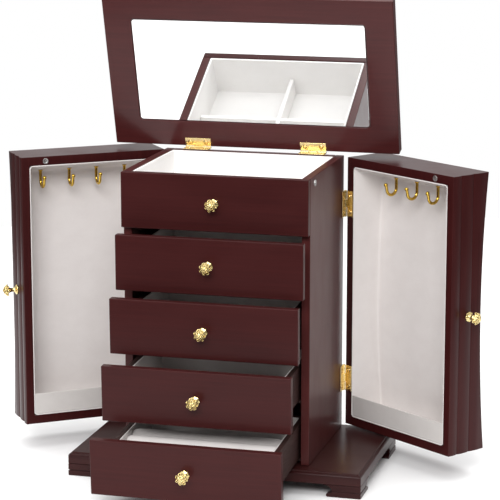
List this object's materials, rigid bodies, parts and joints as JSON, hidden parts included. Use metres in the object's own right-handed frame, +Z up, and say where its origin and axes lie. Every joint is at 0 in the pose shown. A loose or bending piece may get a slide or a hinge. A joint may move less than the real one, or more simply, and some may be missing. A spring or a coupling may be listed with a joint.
{
  "type": "jewelry armoire",
  "caption": "Table-top wooden jewelry armoire with a mirrored lid, drawers and deep side doors that hold necklaces on hooks.",
  "frame": {"origin": "bottom centre of the whole armoire as it stands open, on the surface it rests on", "axes": "+Z up, +X to the right and along its widest extent across both open doors, +Y from the drawer fronts to the back"},
  "size_m": [0.4804, 0.2988, 0.4537],
  "materials": {
    "cherry_lacquer": "dark cherry stain under satin lacquer",
    "drawer_box_wood": "dark brown stained board, matt",
    "velvet": "short-pile off-white velvet",
    "brass_hinge": "polished brass plate",
    "brass_knob": "polished cast brass",
    "brass_hook": "polished brass wire",
    "magnet_steel": "dull nickel",
    "mirror_glass": "silvered glass"
  },
  "bodies": {
    "cabinet": {"base_board": "cherry_lacquer", "foot_front_left": "cherry_lacquer", "foot_front_right": "cherry_lacquer", "foot_rear_left": "cherry_lacquer", "foot_rear_right": "cherry_lacquer", "side_panel_left": "cherry_lacquer", "door_magnet_left": "magnet_steel", "side_panel_right": "cherry_lacquer", "door_magnet_right": "magnet_steel", "back_panel": "cherry_lacquer", "top_front_panel": "cherry_lacquer", "top_front_knob": "brass_knob", "compartment_floor": "drawer_box_wood", "compartment_lining": "velvet", "compartment_divider": "velvet", "left_upper_hinge_cabinet_leaf": "brass_hinge", "left_lower_hinge_cabinet_leaf": "brass_hinge", "right_upper_hinge_cabinet_leaf": "brass_hinge", "right_lower_hinge_cabinet_leaf": "brass_hinge", "lid_left_hinge_cabinet_leaf": "brass_hinge", "lid_right_hinge_cabinet_leaf": "brass_hinge"},
    "drawer_1": {"drawer_1_front": "cherry_lacquer", "drawer_1_knob": "brass_knob", "drawer_1_box": "drawer_box_wood"},
    "drawer_1_runner": {"drawer_1_runner": "drawer_box_wood"},
    "drawer_2": {"drawer_2_front": "cherry_lacquer", "drawer_2_knob": "brass_knob", "drawer_2_box": "drawer_box_wood"},
    "drawer_2_runner": {"drawer_2_runner": "drawer_box_wood"},
    "drawer_3": {"drawer_3_front": "cherry_lacquer", "drawer_3_knob": "brass_knob", "drawer_3_box": "drawer_box_wood"},
    "drawer_3_runner": {"drawer_3_runner": "drawer_box_wood"},
    "drawer_4": {"drawer_4_front": "cherry_lacquer", "drawer_4_knob": "brass_knob", "drawer_4_box": "drawer_box_wood", "ring_roll_insert": "velvet"},
    "drawer_4_runner": {"drawer_4_runner": "drawer_box_wood"},
    "left_door": {"left_door_case": "cherry_lacquer", "left_door_knob": "brass_knob", "left_door_pocket": "velvet", "left_door_hook_1": "brass_hook", "left_door_hook_2": "brass_hook", "left_door_hook_3": "brass_hook", "left_door_hook_4": "brass_hook", "left_upper_hinge_door_leaf": "brass_hinge", "left_lower_hinge_door_leaf": "brass_hinge"},
    "right_door": {"right_door_case": "cherry_lacquer", "right_door_knob": "brass_knob", "right_door_pocket": "velvet", "right_door_hook_1": "brass_hook", "right_door_hook_2": "brass_hook", "right_door_hook_3": "brass_hook", "right_upper_hinge_door_leaf": "brass_hinge", "right_lower_hinge_door_leaf": "brass_hinge"},
    "lid": {"lid_frame": "cherry_lacquer", "lid_mirror": "mirror_glass", "lid_left_hinge_lid_leaf": "brass_hinge", "lid_right_hinge_lid_leaf": "brass_hinge"}
  },
  "joints": [
    {"name": "drawer_1_sag", "type": "hinge", "parent": "cabinet", "child": "drawer_1_runner", "pos_m": [-0.00065, 0.06356, 0.1969], "axis": [1, 0, 0], "range_deg": [-0.69, 3.14]},
    {"name": "drawer_1_slide", "type": "slide", "parent": "drawer_1_runner", "child": "drawer_1", "axis": [0, -0.9999, -0.0117], "range_m": [-0.0185, 0.0865]},
    {"name": "drawer_2_sag", "type": "hinge", "parent": "cabinet", "child": "drawer_2_runner", "pos_m": [-0.00065, 0.06356, 0.1422], "axis": [1, 0, 0], "range_deg": [-1.36, 2.47]},
    {"name": "drawer_2_slide", "type": "slide", "parent": "drawer_2_runner", "child": "drawer_2", "axis": [0, -0.9997, -0.0233], "range_m": [-0.037, 0.068]},
    {"name": "drawer_3_sag", "type": "hinge", "parent": "cabinet", "child": "drawer_3_runner", "pos_m": [-0.00065, 0.06356, 0.0875], "axis": [1, 0, 0], "range_deg": [-2.26, 1.57]},
    {"name": "drawer_3_slide", "type": "slide", "parent": "drawer_3_runner", "child": "drawer_3", "axis": [0, -0.9992, -0.0391], "range_m": [-0.062, 0.043]},
    {"name": "drawer_4_sag", "type": "hinge", "parent": "cabinet", "child": "drawer_4_runner", "pos_m": [-0.00065, 0.06356, 0.0328], "axis": [1, 0, 0], "range_deg": [-3.5, 0.33]},
    {"name": "drawer_4_slide", "type": "slide", "parent": "drawer_4_runner", "child": "drawer_4", "axis": [0, -0.9982, -0.0608], "range_m": [-0.0965, 0.0085]},
    {"name": "left_door_hinge", "type": "hinge", "parent": "cabinet", "child": "left_door", "pos_m": [-0.09235, 0.11106, 0.16], "axis": [0, 0, -1], "range_deg": [-53.2, 56.8]},
    {"name": "right_door_hinge", "type": "hinge", "parent": "cabinet", "child": "right_door", "pos_m": [0.09105, 0.11106, 0.16], "axis": [0, 0, 1], "range_deg": [-54.2, 55.8]},
    {"name": "lid_hinge", "type": "hinge", "parent": "cabinet", "child": "lid", "pos_m": [-0.00065, 0.1135, 0.2976], "axis": [-1, 0, 0], "range_deg": [-74.2, 21.8]}
  ],
  "couplings": [
    {"joint": "drawer_1_sag", "follows": "drawer_1_slide", "rad_per_m": 0.63},
    {"joint": "drawer_2_sag", "follows": "drawer_2_slide", "rad_per_m": 0.63},
    {"joint": "drawer_3_sag", "follows": "drawer_3_slide", "rad_per_m": 0.63},
    {"joint": "drawer_4_sag", "follows": "drawer_4_slide", "rad_per_m": 0.63}
  ]
}
